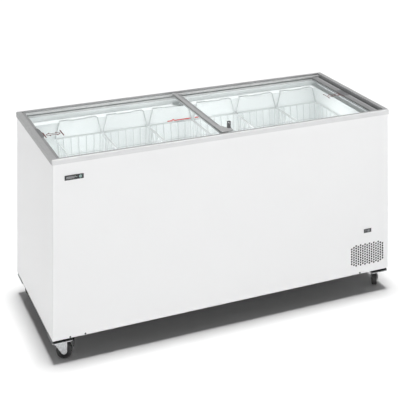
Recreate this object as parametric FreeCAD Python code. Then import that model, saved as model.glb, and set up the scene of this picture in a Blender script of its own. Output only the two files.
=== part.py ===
import FreeCAD, Part
import math
import os

Vector = FreeCAD.Vector

# Chest freezer with flat sliding glass lids, hanging baskets and swivel casters.
# Millimetres. +X is the cabinet's length, +Y its back, +Z up. The origin is on the
# floor, under the middle of the cabinet.

# ---- driving dimensions -------------------------------------------------------------
WIDTH = 1552.0
DEPTH = 631.0
FRAME_TOP = 808.0
BODY_BOTTOM = 96.0
SHEET = 1.0                      # thickness of the painted panels and of the liner
PANEL_BEND = 3.0                 # outer radius of the front and rear panels' upright bends
PANEL_RETURN = 5.0               # how far those panels turn back along the ends

# top frame
RAIL_LIP = 4.0                   # how far the frame stands out past the panels
TRIM_HEIGHT = 21.0
FRAME_HEIGHT = 30.0
TRIM_WIDTH = 5.0
TRIM_CORNER = 4.5                # upright corners at the ends of the long trims
WEB_WIDTH = 11.0
GLIDE_WIDTH = 8.0
END_RAIL_WIDTH = 22.0
RAIL_ROUND = 4.0                 # top outer edge, all round the frame

# sliding lids
GLASS = 4.0
GROOVE = 5.7
UPPER_GROOVE_FLOOR = 799.6
LOWER_GROOVE_FLOOR = 786.4
GLASS_LIFT = 0.8                 # glass above the floor of its groove
GLASS_INSET = 7.0                # how far the glass reaches into its groove
PROFILE_END_GAP = 1.0
PROFILE_BELOW = 6.8              # lid profile below and above the glass
PROFILE_ABOVE = 2.0
PROFILE_ROUND = 1.5
GLASS_BITE = 10.0                # how far a lid profile grips the glass
LEFT_LID = (-753.0, -19.0)
LEFT_OUTER_WIDTH = 12.5
LEFT_INNER_WIDTH = 17.0
RIGHT_LID = (-20.0, 749.0)
RIGHT_OUTER_WIDTH = 34.0
RIGHT_INNER_WIDTH = 28.0
PULL_INSET = 2.0                 # from the far edge of the profile a pull is let into
LEFT_PULL_Y = 8.0
LEFT_PULL_LENGTH = 116.0
LEFT_PULL_REACH = 6.0            # past the profile, over the glass
LEFT_PULL_PROUD = 0.5            # above the profile
RIGHT_PULL_Y = 18.0
RIGHT_PULL_LENGTH = 84.0
RIGHT_PULL_REACH = 3.0
SEAL_INSET = 3.0                 # rubber seal let into the right lid's outer profile
SEAL_WIDTH = 8.0
SEAL_DEPTH = 1.4

# lock on the left lid
LOCK_X = 13.0
LOCK_Y = -250.0
LOCK_RADIUS = 8.7
LOCK_HEIGHT = 30.0
LOCK_ROUND = 2.0
PLUG_RADIUS = 5.5
PLUG_PROUD = 0.6
KEYWAY_WIDTH = 1.6
KEYWAY_LENGTH = 7.2
KEYWAY_DEPTH = 12.0
RUNNING_GAP = 0.05
BRACKET_THICK = 3.0
BRACKET_ROUND = 3.0
BRACKET_RIM = 1.0                # metal left round the lock's barrel

# storage well
WELL_X = 716.0
WELL_Y = 251.0
WELL_FLOOR = 170.0
WELL_ROUND = 8.0
LEDGE_Z = 755.0
MOUTH_X = 754.0
STEP_X = 380.0                   # the well is shallower past this, over the machinery
STEP_Z = 390.0
DRAIN_X = -640.0
DRAIN_R = 10.0

# machinery compartment
MACHINE_X = 440.0
MACHINE_TOP = 330.0

# baskets
BASKET_COUNT = 6
BASKET_PITCH = 222.0
BASKET_FIRST_X = -618.5
BASKET_GAP = 2.0
BASKET_RIM_Z = 687.0
BASKET_BOTTOM_Z = 487.0
BASKET_RIM_Y = 247.0
BASKET_BOTTOM_Y = 222.0
BASKET_TAPER_X = 12.0
WIRE = 5.0
HANGER_TOP_Z = 760.5
HANGER_INSET = 19.0
HOOK_REACH = 19.0

# evaporator tube round the liner
TUBE_R = 4.0
EVAPORATOR_LEVELS = (430.0, 505.0, 580.0, 655.0, 725.0)
RISER_Y = 150.0

# casters, measured from the kingpin with the wheel trailing along +X
WHEEL_R = 32.0
WHEEL_WIDTH = 22.0
WHEEL_ROUND = 3.5
WHEEL_RECESS_R = 22.0
WHEEL_RECESS = 4.0
WHEEL_HUB_R = 9.0
TRAIL = 18.0
KINGPIN_X = 730.0
KINGPIN_Y = 262.0
PLATE_TOP = 85.0
PLATE_THICK = 3.0
PLATE_X = 82.0
PLATE_Y = 98.0
PLATE_ROUND = 8.0
BOLT_PITCH_X = 60.0
BOLT_PITCH_Y = 64.0
BOLT_R = 4.0
BOLT_HEAD_R = 6.5
BOLT_HEAD_H = 4.0
BOLT_REACH = 6.0                 # past the base pan
BOLT_POCKET = 3.0                # room round a bolt's end in the foam
CHANNEL_WIDTH = 76.0             # box channel between the base pan and two caster plates
CHANNEL_HALF_LENGTH = 304.0
CHANNEL_WALL = 2.0
KINGPIN_R = 5.0
KINGPIN_LENGTH = 16.0
KINGPIN_HEAD_R = 9.0
KINGPIN_HEAD_H = 4.4
KINGPIN_HEAD_Z = 68.0
RACE_R = 25.0
RACE_HEIGHT = 8.0
RACE_GAP = 0.3
BRIDGE_THICK = 3.0
LEG_GAP = 13.0                   # from the middle to each fork leg
LEG_THICK = 2.5
LEG_FRONT = -19.0
LEG_SHOULDER_Z = 60.0
AXLE_R = 4.0
AXLE_BOSS_R = 12.0
AXLE_HEAD_R = 6.0
AXLE_HEAD_H = 2.2
PEDAL_X = 24.0                   # pivot of the brake pedal
PEDAL_Z = 69.0
PEDAL_PIN_R = 2.5
PEDAL_ARM = (21.0, 57.0, 65.5, 73.0)
PEDAL_ARM_HALF = 11.0
PEDAL_PAD = (52.0, 58.0, 48.0, 74.0)
PEDAL_PAD_HALF = 14.0
PEDAL_ROUND = 1.5
CASTERS = {                      # corner: (x side, y side, trail direction in degrees, has a brake)
    "front_left": (-1, -1, -20.0, True),
    "front_right": (1, -1, 60.0, True),
    "rear_left": (-1, 1, 25.0, False),
    "rear_right": (1, 1, 40.0, False),
}

# front panel details
GRILLE_COUNTS = (7, 8, 9, 8, 9, 8, 9, 8, 9, 8, 9, 8, 9, 8, 7)
GRILLE_X = 583.0
GRILLE_Z = 178.0
GRILLE_PITCH_X = 11.4
GRILLE_PITCH_Z = 10.9
GRILLE_HOLE_R = 4.4
BADGE = (-724.0, -646.0, 719.0, 738.0)
BADGE_THICK = 1.2
DISPLAY = (645.0, 683.0, 272.5, 289.5)
DISPLAY_PROUD = 0.6
MODULE_MARGIN_X = 6.0            # control module behind the display
MODULE_MARGIN_Z = 8.0
MODULE_DEPTH = 28.0
FRONT_SCREWS_X = (-701.0, -639.0, 624.0)
SCREW_Z = 100.0
SCREW_HEAD_R = 3.5
SCREW_SHANK_R = 1.8
SCREW_HEAD_H = 1.6
SCREW_HEAD_ROUND = 0.8

# fan and condenser
FAN_X = 660.0
FAN_Z = 180.0
FAN_R = 60.0
FAN_BLADES = 5
BLADE_ROOT = 10.0
BLADE_HALF_CHORD = 13.0
BLADE_THICK = 1.6
BLADE_PITCH = 24.0
HUB_R = 15.0
HUB_LENGTH = 16.0
SHAFT_R = 3.0
MOTOR_R = 28.0
MOTOR_LENGTH = 42.0
COIL_HALF_X = 95.0
COIL_HALF_Z = 74.0
COIL_Y = (-303.0, -259.0)
FIN_COUNT = 21
FIN_THICK = 0.8
COIL_ROWS = 5
COIL_ROW_PITCH = 29.5
COIL_TUBE_INSET = 12.0
COIL_TUBE_REACH = 6.0
SHROUD_GAP = 4.0                 # behind the coil
SHROUD_DEPTH = 26.0
SHROUD_SHEET = 2.0
SHROUD_TIP_GAP = 4.0             # between the blade tips and the ring
SHROUD_FOOT = 16.0
ARM_HALF = 5.0
ARM_THICK = 4.0

# compressor
COMPRESSOR_X = 530.0
COMPRESSOR_Y = 120.0
COMPRESSOR_R = 76.0
COMPRESSOR_HEIGHT = 108.0        # of the pot's straight wall
SEAM_HEIGHT = 70.0
SEAM_PROUD = 3.0
SEAM_WIDTH = 5.0
FOOT_HALF_X = 82.0
FOOT_HALF_Y = 100.0
FOOT_THICK = 4.0
FOOT_ROUND = 10.0
GROMMET_R = 11.0
GROMMET_HEIGHT = 12.0
GROMMET_INSET = 14.0
RELAY = (60.0, 112.0, 26.0, 20.0, 64.0)     # x from and to, half width, z from and to

# rear panel details
REAR_GRILLE = (600.0, 750.0, 130.0, 290.0)
REAR_GRILLE_THICK = 1.5
REAR_SCREW_INSET = 6.0
VENT_MARGIN = 14.0
SLOT_COUNT = 13
SLOT_PITCH = 9.0
SLOT_WIDTH = 5.0
SLOT_HALF_HEIGHT = 27.0
SLOT_OFFSET_Z = 31.0
SLOT_FIRST = 18.0
INLET_X = 520.0
INLET_Z = 150.0
INLET_FLANGE = (20.0, 14.0, 2.5)            # half width, half height, thickness
INLET_SHELL = (14.0, 10.0, 22.0)            # half width, half height, depth inside
INLET_WALL = 2.0
INLET_PIN = (1.0, 2.0)                      # half width, half height
INLET_PINS = ((-7.0, -1.5), (0.0, 2.5), (7.0, -1.5))

# drain
DRAIN_WALL = 3.0
DRAIN_CAP_RIM = 4.0
DRAIN_CAP_THICK = 3.0
DRAIN_CAP_DEPTH = 14.0

# ---- derived levels -----------------------------------------------------------------
HALF_X = WIDTH / 2 - RAIL_LIP
HALF_Y = DEPTH / 2 - RAIL_LIP
INNER_X = HALF_X - SHEET
INNER_Y = HALF_Y - SHEET
TRIM_BOTTOM = FRAME_TOP - TRIM_HEIGHT
FRAME_BOTTOM = FRAME_TOP - FRAME_HEIGHT
TRIM_INNER_Y = DEPTH / 2 - TRIM_WIDTH
WEB_INNER_Y = TRIM_INNER_Y - WEB_WIDTH
MOUTH_Y = WEB_INNER_Y - GLIDE_WIDTH
UPPER_GLASS_Z = UPPER_GROOVE_FLOOR + GLASS_LIFT
LOWER_GLASS_Z = LOWER_GROOVE_FLOOR + GLASS_LIFT
GLASS_Y = MOUTH_Y + GLASS_INSET
PROFILE_Y = MOUTH_Y - PROFILE_END_GAP
BASE_TOP = BODY_BOTTOM + SHEET
PLATE_BOTTOM = PLATE_TOP - PLATE_THICK
RACE_TOP = PLATE_BOTTOM - RACE_GAP
RACE_BOTTOM = RACE_TOP - RACE_HEIGHT
LEG_TOP = RACE_BOTTOM + BRIDGE_THICK
BRACKET_Z = UPPER_GLASS_Z + GLASS + PROFILE_ABOVE
PAD = 2.0                        # overlap used where one shape is cut from another


# ---- helpers ------------------------------------------------------------------------
def block(x0, x1, y0, y1, z0, z1):
    return Part.makeBox(x1 - x0, y1 - y0, z1 - z0, Vector(x0, y0, z0))


def rounded_block(x0, x1, y0, y1, z0, z1, radius):
    """A block with its four upright edges rounded."""
    solid = block(x0, x1, y0, y1, z0, z1)
    upright = [e for e in solid.Edges if abs(e.Vertexes[0].Z - e.Vertexes[1].Z) > (z1 - z0) / 2]
    return solid.makeFillet(radius, upright)


def cylinder(x, y, z, radius, length, axis=(0, 0, 1)):
    return Part.makeCylinder(radius, length, Vector(x, y, z), Vector(*axis))


def prism(points, direction):
    """A closed outline extruded along a vector."""
    corners = [Vector(*p) for p in points]
    outline = Part.makePolygon(corners + corners[:1])
    return Part.Face(outline).extrude(Vector(*direction))


def join(shapes):
    result = shapes[0]
    if len(shapes) > 1:
        result = shapes[0].multiFuse(shapes[1:])
    return result.removeSplitter()


def place(shape, x, y, degrees):
    """Turn a shape about the Z axis, then move it."""
    turned = shape.copy()
    turned.rotate(Vector(0, 0, 0), Vector(0, 0, 1), degrees)
    turned.translate(Vector(x, y, 0))
    return turned


def upright_edges(shape, height):
    """The edges of a plate that run the whole of its height along Z."""
    return [e for e in shape.Edges if e.BoundBox.ZLength > height / 2]


def through_y(x, y, z, radius, length):
    """A bore along Y."""
    return cylinder(x, y, z, radius, length, (0, 1, 0))


def mirror_y(shape):
    return shape.mirror(Vector(0, 0, 0), Vector(0, 1, 0))


def save(name, shape):
    shape.exportStep("parts/" + name + ".step")


# ---- cabinet panels -----------------------------------------------------------------
def grille_holes():
    holes = []
    for column, count in enumerate(GRILLE_COUNTS):
        x = GRILLE_X + column * GRILLE_PITCH_X
        for row in range(count):
            z = GRILLE_Z + (row - (count - 1) / 2) * GRILLE_PITCH_Z
            holes.append(through_y(x, -HALF_Y - PAD, z, GRILLE_HOLE_R, SHEET + 2 * PAD))
    return holes


def long_panel():
    """Front panel blank: a face with both upright edges bent back."""
    y_end = -HALF_Y + PANEL_RETURN
    outer = rounded_block(-HALF_X, HALF_X, -HALF_Y, HALF_Y, BODY_BOTTOM, TRIM_BOTTOM, PANEL_BEND)
    inner = rounded_block(-INNER_X, INNER_X, -INNER_Y, INNER_Y, BODY_BOTTOM - PAD, TRIM_BOTTOM + PAD,
                          PANEL_BEND - SHEET)
    keep = block(-HALF_X - PAD, HALF_X + PAD, -HALF_Y - PAD, y_end, BODY_BOTTOM, TRIM_BOTTOM)
    return outer.cut(inner).common(keep)


def front_screws():
    return [(x, SCREW_Z) for x in FRONT_SCREWS_X]


def rear_grille_screws():
    x0, x1, z0, z1 = REAR_GRILLE
    columns = (x0 + REAR_SCREW_INSET, x1 - REAR_SCREW_INSET)
    rows = (z0 + REAR_SCREW_INSET, z1 - REAR_SCREW_INSET)
    return [(x, z) for x in columns for z in rows]


def build_panels():
    x0, x1, z0, z1 = DISPLAY
    window = block(x0, x1, -HALF_Y - PAD, -INNER_Y + PAD, z0, z1)
    depth = SHEET + 2 * PAD
    bores = [through_y(x, -HALF_Y - PAD, z, SCREW_SHANK_R, depth) for x, z in front_screws()]
    front = long_panel().cut(Part.makeCompound(grille_holes() + bores)).cut(window)
    save("front_panel", front)

    x0, x1, z0, z1 = REAR_GRILLE
    vent = block(x0 + VENT_MARGIN, x1 - VENT_MARGIN, INNER_Y - PAD, HALF_Y + PAD,
                 z0 + VENT_MARGIN, z1 - VENT_MARGIN)
    half_x, half_z, _ = INLET_SHELL
    inlet = block(INLET_X - half_x, INLET_X + half_x, INNER_Y - PAD, HALF_Y + PAD,
                  INLET_Z - half_z, INLET_Z + half_z)
    bores = [through_y(x, INNER_Y - PAD, z, SCREW_SHANK_R, depth) for x, z in rear_grille_screws()]
    rear = mirror_y(long_panel()).cut(Part.makeCompound([vent, inlet] + bores))
    save("rear_panel", rear)

    side_y = HALF_Y - PANEL_RETURN
    for name, side in (("left_side_panel", -1), ("right_side_panel", 1)):
        x_inner, x_outer = sorted((side * INNER_X, side * HALF_X))
        save(name, block(x_inner, x_outer, -side_y, side_y, BODY_BOTTOM, TRIM_BOTTOM))


def caster_sites():
    for name, (side_x, side_y, angle, brake) in CASTERS.items():
        yield name, side_x * KINGPIN_X, side_y * KINGPIN_Y, angle, brake


def caster_bolt_sites():
    offsets = [(dx, dy) for dx in (-BOLT_PITCH_X / 2, BOLT_PITCH_X / 2)
               for dy in (-BOLT_PITCH_Y / 2, BOLT_PITCH_Y / 2)]
    return [(x + dx, y + dy) for _, x, y, _, _ in caster_sites() for dx, dy in offsets]


def build_base_pan():
    pan = rounded_block(-INNER_X, INNER_X, -INNER_Y, INNER_Y, BODY_BOTTOM, BASE_TOP, PANEL_BEND - SHEET)
    holes = [cylinder(x, y, BODY_BOTTOM - PAD, BOLT_R, SHEET + 2 * PAD) for x, y in caster_bolt_sites()]
    holes.append(cylinder(DRAIN_X, 0, BODY_BOTTOM - PAD, DRAIN_R, SHEET + 2 * PAD))
    save("base_pan", pan.cut(Part.makeCompound(holes)))


# ---- liner, foam and evaporator -----------------------------------------------------
def well(grow):
    """The storage well's space, grown by a wall thickness."""
    high = LEDGE_Z + PAD
    deep = rounded_block(-WELL_X - grow, STEP_X + grow, -WELL_Y - grow, WELL_Y + grow,
                         WELL_FLOOR - grow, high, WELL_ROUND + grow)
    shallow = rounded_block(-WELL_X - grow, WELL_X + grow, -WELL_Y - grow, WELL_Y + grow,
                            STEP_Z - grow, high, WELL_ROUND + grow)
    return deep.fuse(shallow)


def build_liner():
    outer_well = well(SHEET)
    mouth_outer = block(-MOUTH_X - SHEET, MOUTH_X + SHEET, -MOUTH_Y - SHEET, MOUTH_Y + SHEET,
                        LEDGE_Z - SHEET, FRAME_BOTTOM)
    flange = block(-INNER_X + SHEET, INNER_X - SHEET, -INNER_Y + SHEET, INNER_Y - SHEET,
                   FRAME_BOTTOM - SHEET, FRAME_BOTTOM)
    mouth_inner = block(-MOUTH_X, MOUTH_X, -MOUTH_Y, MOUTH_Y, LEDGE_Z, FRAME_BOTTOM + PAD)
    drain = cylinder(DRAIN_X, 0, WELL_FLOOR - SHEET - PAD, DRAIN_R, SHEET + 2 * PAD)
    liner = join([outer_well, mouth_outer, flange]).cut(well(0.0)).cut(mouth_inner).cut(drain)
    save("liner", liner.removeSplitter())


def evaporator_tube():
    """Round tube loops bonded to the liner's outer wall, joined by one riser."""
    x = WELL_X + SHEET + TUBE_R
    y = WELL_Y + SHEET + TUBE_R
    bend = WELL_ROUND + SHEET + TUBE_R
    loops = []
    for level in EVAPORATOR_LEVELS:
        outline = rounded_block(-x, x, -y, y, level, level + 1, bend)
        face = min(outline.Faces, key=lambda f: f.CenterOfMass.z)
        path = face.OuterWire
        start = path.Edges[0].Vertexes[0].Point
        tangent = path.Edges[0].tangentAt(path.Edges[0].FirstParameter)
        section = Part.Wire(Part.makeCircle(TUBE_R, start, tangent))
        loops.append(path.makePipeShell([section], True, False))
    riser_z = MACHINE_TOP + SHEET
    riser = cylinder(x, RISER_Y, riser_z, TUBE_R, EVAPORATOR_LEVELS[-1] - riser_z)
    return join([Part.makeSolid(s) if s.ShapeType == "Shell" else s for s in loops] + [riser])


def foam_slabs():
    """The poured insulation as convex slabs that meet face to face."""
    skin_x = WELL_X + SHEET
    skin_y = WELL_Y + SHEET
    floor_top = WELL_FLOOR - SHEET
    ledge = LEDGE_Z - SHEET
    step_top = STEP_Z - SHEET
    step_skin = STEP_X + SHEET
    roof = MACHINE_TOP + SHEET
    top = FRAME_BOTTOM - SHEET
    wall = MACHINE_X - SHEET
    slabs = [
        block(-INNER_X, wall, -skin_y, skin_y, BASE_TOP, floor_top),
        block(-INNER_X, -skin_x, -skin_y, skin_y, floor_top, ledge),
        block(step_skin, wall, -skin_y, skin_y, floor_top, roof),
        block(step_skin, INNER_X, -skin_y, skin_y, roof, step_top),
        block(skin_x, INNER_X, -skin_y, skin_y, step_top, ledge),
    ]
    for side in (-1, 1):
        y0, y1 = sorted((side * skin_y, side * INNER_Y))
        slabs.append(block(-INNER_X, wall, y0, y1, BASE_TOP, ledge))
        slabs.append(block(wall, INNER_X, y0, y1, roof, ledge))
        y0, y1 = sorted((side * (MOUTH_Y + SHEET), side * INNER_Y))
        slabs.append(block(-INNER_X, INNER_X, y0, y1, ledge, top))
        x0, x1 = sorted((side * (MOUTH_X + SHEET), side * INNER_X))
        slabs.append(block(x0, x1, -MOUTH_Y - SHEET, MOUTH_Y + SHEET, ledge, top))
    return slabs


def evaporator_grooves():
    """Square channels in the foam round the evaporator tube."""
    x = WELL_X + SHEET
    y = WELL_Y + SHEET
    side = 2 * TUBE_R
    grooves = []
    for level in EVAPORATOR_LEVELS:
        ring = block(-x - side, x + side, -y - side, y + side, level - TUBE_R, level + TUBE_R)
        grooves.append(ring.cut(block(-x, x, -y, y, level - side, level + side)))
    riser = block(x, x + side, RISER_Y - TUBE_R, RISER_Y + TUBE_R, MACHINE_TOP, EVAPORATOR_LEVELS[-1])
    return grooves + [riser]


def build_foam_and_evaporator():
    save("evaporator_tube", evaporator_tube())
    drain = cylinder(DRAIN_X, 0, BASE_TOP - PAD, DRAIN_R, WELL_FLOOR)
    pockets = [cylinder(x, y, BASE_TOP - PAD, BOLT_R + BOLT_POCKET, BOLT_REACH + PAD)
               for x, y in caster_bolt_sites()]
    panels = [long_panel(), mirror_y(long_panel())]
    tools = Part.makeCompound([drain] + pockets + evaporator_grooves() + panels)
    save("foam_insulation", Part.makeCompound([slab.cut(tools).Solids[0] for slab in foam_slabs()]))


# ---- top frame ----------------------------------------------------------------------
def long_trim():
    """White trim along one long side, standing on the panel's top edge."""
    y_out = -DEPTH / 2
    bar = block(-WIDTH / 2, WIDTH / 2, y_out, -TRIM_INNER_Y, TRIM_BOTTOM, FRAME_TOP)
    ends = [e for e in upright_edges(bar, TRIM_HEIGHT) if e.CenterOfMass.y < y_out + 0.1]
    bar = bar.makeFillet(TRIM_CORNER, ends)
    top = [e for e in bar.Edges
           if e.BoundBox.ZMin > FRAME_TOP - 0.1 and e.CenterOfMass.y < -TRIM_INNER_Y - 0.1]
    return bar.makeFillet(RAIL_ROUND, top)


def end_rail(side):
    """Aluminium rail across one end, between the two long trims."""
    inner = side * (WIDTH / 2 - END_RAIL_WIDTH)
    lip = side * WIDTH / 2
    foot = side * (INNER_X - PANEL_BEND + SHEET)
    outline = [(inner, FRAME_BOTTOM), (foot, FRAME_BOTTOM), (foot, TRIM_BOTTOM), (lip, TRIM_BOTTOM),
               (lip, FRAME_TOP), (inner, FRAME_TOP)]
    rail = prism([(x, -TRIM_INNER_Y, z) for x, z in outline], (0, 2 * TRIM_INNER_Y, 0))
    corner = [e for e in rail.Edges
              if abs(e.CenterOfMass.x - lip) < 0.1 and abs(e.CenterOfMass.z - FRAME_TOP) < 0.1]
    return rail.makeFillet(RAIL_ROUND, corner)


def build_frame():
    trim = long_trim()
    save("front_trim", trim)
    save("rear_trim", mirror_y(trim))
    save("left_end_rail", end_rail(-1))
    save("right_end_rail", end_rail(1))

    # the lower lid runs between two strips, the upper lid on top of the upper one
    web = block(-MOUTH_X, MOUTH_X, -TRIM_INNER_Y, -WEB_INNER_Y, FRAME_BOTTOM, FRAME_TOP)
    save("slide_tracks", Part.makeCompound([web, mirror_y(web)]))
    levels = ((FRAME_BOTTOM, LOWER_GROOVE_FLOOR), (LOWER_GROOVE_FLOOR + GROOVE, UPPER_GROOVE_FLOOR))
    strips = [block(-MOUTH_X, MOUTH_X, -WEB_INNER_Y, -MOUTH_Y, z0, z1) for z0, z1 in levels]
    save("glide_strips", Part.makeCompound(strips + [mirror_y(s) for s in strips]))


# ---- sliding lids -------------------------------------------------------------------
def finger_pull(x_far, x_edge, reach, y_mid, length, z0, z1):
    """A flat pull let into a lid profile, swelling past the profile's edge over the glass."""
    half = length / 2
    flat = half * 0.45
    shoulder_x = x_edge + reach * 0.72
    shoulder_y = half * 0.78
    tip_x = x_edge + reach
    low = Part.Arc(Vector(x_edge, y_mid - half, z0), Vector(shoulder_x, y_mid - shoulder_y, z0),
                   Vector(tip_x, y_mid - flat, z0))
    high = Part.Arc(Vector(tip_x, y_mid + flat, z0), Vector(shoulder_x, y_mid + shoulder_y, z0),
                    Vector(x_edge, y_mid + half, z0))
    tip = Part.LineSegment(Vector(tip_x, y_mid - flat, z0), Vector(tip_x, y_mid + flat, z0))
    back = Part.makePolygon([Vector(x_edge, y_mid + half, z0), Vector(x_far, y_mid + half, z0),
                             Vector(x_far, y_mid - half, z0), Vector(x_edge, y_mid - half, z0)])
    outline = Part.Wire([low.toShape(), tip.toShape(), high.toShape()] + back.Edges)
    return Part.Face(outline).extrude(Vector(0, 0, z1 - z0))


def lid_profile(x0, x1, glass_z):
    z0 = glass_z - PROFILE_BELOW
    z1 = glass_z + GLASS + PROFILE_ABOVE
    profile = block(x0, x1, -PROFILE_Y, PROFILE_Y, z0, z1)
    edges = [e for e in profile.Edges
             if abs(e.CenterOfMass.z - z1) < 0.1 and abs(e.CenterOfMass.y) < 0.1]
    return profile.makeFillet(PROFILE_ROUND, edges)


def lid_glass(x0, x1, glass_z):
    return block(x0, x1, -GLASS_Y, GLASS_Y, glass_z, glass_z + GLASS)


def build_left_lid():
    x0, x1 = LEFT_LID
    outer_edge = x0 + LEFT_OUTER_WIDTH
    inner_edge = x1 - LEFT_INNER_WIDTH
    glass = lid_glass(outer_edge - GLASS_BITE, inner_edge + GLASS_BITE, UPPER_GLASS_Z)
    top = UPPER_GLASS_Z + GLASS
    pull = finger_pull(x0 + PULL_INSET, outer_edge, LEFT_PULL_REACH, LEFT_PULL_Y, LEFT_PULL_LENGTH,
                       top, top + PROFILE_ABOVE + LEFT_PULL_PROUD)
    save("left_lid_glass", glass)
    save("left_lid_pull", pull)
    save("left_lid_outer_profile", lid_profile(x0, outer_edge, UPPER_GLASS_Z).cut(glass).cut(pull))
    save("left_lid_inner_profile", lid_profile(inner_edge, x1, UPPER_GLASS_Z).cut(glass))


def build_right_lid():
    x0, x1 = RIGHT_LID
    inner_edge = x0 + RIGHT_INNER_WIDTH
    outer_edge = x1 - RIGHT_OUTER_WIDTH
    glass = lid_glass(inner_edge - GLASS_BITE, outer_edge + GLASS_BITE, LOWER_GLASS_Z)
    top = LOWER_GLASS_Z + GLASS
    pull = finger_pull(x1 - SEAL_INSET, outer_edge, -RIGHT_PULL_REACH, RIGHT_PULL_Y, RIGHT_PULL_LENGTH,
                       top, top + PROFILE_ABOVE)
    seal_top = top + PROFILE_ABOVE
    seal_x = x1 - SEAL_INSET
    seal = block(seal_x - SEAL_WIDTH, seal_x, -PROFILE_Y, PROFILE_Y, seal_top - SEAL_DEPTH, seal_top)
    save("right_lid_glass", glass)
    save("right_lid_pull", pull)
    save("right_lid_seal", Part.makeCompound(seal.cut(pull).Solids))
    outer = lid_profile(outer_edge, x1, LOWER_GLASS_Z)
    save("right_lid_outer_profile", outer.cut(glass).cut(pull).cut(seal))
    save("right_lid_inner_profile", lid_profile(x0, inner_edge, LOWER_GLASS_Z).cut(glass))


def lock_bracket():
    """Gusset at the front end of the left lid's inner profile, spread to carry the lock."""
    left = LEFT_LID[1] - LEFT_INNER_WIDTH
    front = -PROFILE_Y
    rim = LOCK_RADIUS + BRACKET_RIM
    outline = [
        (left, front),
        (LOCK_X + 3, front),
        (LOCK_X + rim, LOCK_Y - 8),
        (LOCK_X - rim, LOCK_Y + 7),
        (LOCK_X - rim - 9, LOCK_Y + 28),
        (LEFT_LID[1], LOCK_Y + 45),
        (left, LOCK_Y + 45),
    ]
    plate = prism([(x, y, BRACKET_Z) for x, y in outline], (0, 0, BRACKET_THICK))
    corners = [e for e in upright_edges(plate, BRACKET_THICK) if e.CenterOfMass.x > LEFT_LID[1] + 1]
    plate = plate.makeFillet(BRACKET_ROUND, corners)
    return join([plate, cylinder(LOCK_X, LOCK_Y, BRACKET_Z, rim, BRACKET_THICK)])


def build_lock():
    bore = cylinder(LOCK_X, LOCK_Y, BRACKET_Z - PAD, PLUG_RADIUS + RUNNING_GAP, LOCK_HEIGHT + 2 * PAD)
    save("lock_bracket", lock_bracket().cut(bore))

    z0 = BRACKET_Z + BRACKET_THICK
    height = LOCK_HEIGHT - BRACKET_THICK
    barrel = cylinder(LOCK_X, LOCK_Y, z0, LOCK_RADIUS, height)
    rim = [e for e in barrel.Edges if abs(e.CenterOfMass.z - z0 - height) < 0.1 and e.Closed]
    save("lock_housing", barrel.makeFillet(LOCK_ROUND, rim).cut(bore))

    plug = cylinder(LOCK_X, LOCK_Y, BRACKET_Z, PLUG_RADIUS, LOCK_HEIGHT + PLUG_PROUD)
    half_x = KEYWAY_WIDTH / 2
    half_y = KEYWAY_LENGTH / 2
    lock_top = BRACKET_Z + LOCK_HEIGHT
    keyway = block(LOCK_X - half_x, LOCK_X + half_x, LOCK_Y - half_y, LOCK_Y + half_y,
                   lock_top - KEYWAY_DEPTH, lock_top + PAD)
    save("lock_plug", plug.cut(keyway))


# ---- baskets ------------------------------------------------------------------------
def tapered_block(half_top_x, half_top_y, half_low_x, half_low_y, z_top, z_low):
    def ring(hx, hy, z):
        corners = [Vector(-hx, -hy, z), Vector(hx, -hy, z), Vector(hx, hy, z), Vector(-hx, hy, z)]
        return Part.makePolygon(corners + corners[:1])
    rings = [ring(half_low_x, half_low_y, z_low), ring(half_top_x, half_top_y, z_top)]
    return Part.makeLoft(rings, True, True)


def basket():
    """One hanging basket about x = 0: a tapered tray with a hooked hanger at each end."""
    half_x = (BASKET_PITCH - BASKET_GAP) / 2
    low_x = half_x - BASKET_TAPER_X
    outer = tapered_block(half_x, BASKET_RIM_Y, low_x, BASKET_BOTTOM_Y, BASKET_RIM_Z, BASKET_BOTTOM_Z)
    inner = tapered_block(half_x - WIRE, BASKET_RIM_Y - WIRE, low_x - WIRE, BASKET_BOTTOM_Y - WIRE,
                          BASKET_RIM_Z + 0.01, BASKET_BOTTOM_Z + WIRE)
    tray = outer.cut(inner)
    top_x = half_x - HANGER_INSET
    y_in = BASKET_RIM_Y - WIRE
    pieces = [tray]
    for side in (-1, 1):
        for leg in (-1, 1):
            outline = [(leg * (half_x - WIRE), BASKET_RIM_Z - WIRE), (leg * half_x, BASKET_RIM_Z - WIRE),
                       (leg * top_x, HANGER_TOP_Z), (leg * (top_x - WIRE), HANGER_TOP_Z)]
            pieces.append(prism([(x, side * y_in, z) for x, z in outline], (0, side * WIRE, 0)))
        y0, y1 = sorted((side * y_in, side * (BASKET_RIM_Y + HOOK_REACH)))
        pieces.append(block(-top_x, top_x, y0, y1, HANGER_TOP_Z - WIRE, HANGER_TOP_Z))
    return join(pieces)


def build_baskets():
    shape = basket()
    for number in range(BASKET_COUNT):
        x = BASKET_FIRST_X + (number + 0.5) * BASKET_PITCH
        save("basket_%d" % (number + 1), place(shape, x, 0, 0))


# ---- casters ------------------------------------------------------------------------
def fork_leg(side):
    """One pressed leg, tapering from the race to a round boss at the axle."""
    y = side * LEG_GAP
    back = TRAIL + AXLE_BOSS_R
    dx = LEG_FRONT - TRAIL
    dz = LEG_SHOULDER_Z - WHEEL_R
    reach = math.hypot(dx, dz)
    # where a line from the shoulder touches the boss
    angle = math.atan2(dz, dx) + math.acos(AXLE_BOSS_R / reach)
    touch = (TRAIL + AXLE_BOSS_R * math.cos(angle), WHEEL_R + AXLE_BOSS_R * math.sin(angle))
    outline = [(LEG_FRONT, LEG_TOP), (back, LEG_TOP), (back, WHEEL_R), touch, (LEG_FRONT, LEG_SHOULDER_Z)]
    leg = prism([(x, y, z) for x, z in outline], (0, side * LEG_THICK, 0))
    boss = cylinder(TRAIL, y, WHEEL_R, AXLE_BOSS_R, LEG_THICK, (0, side, 0))
    return leg.fuse(boss)


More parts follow.
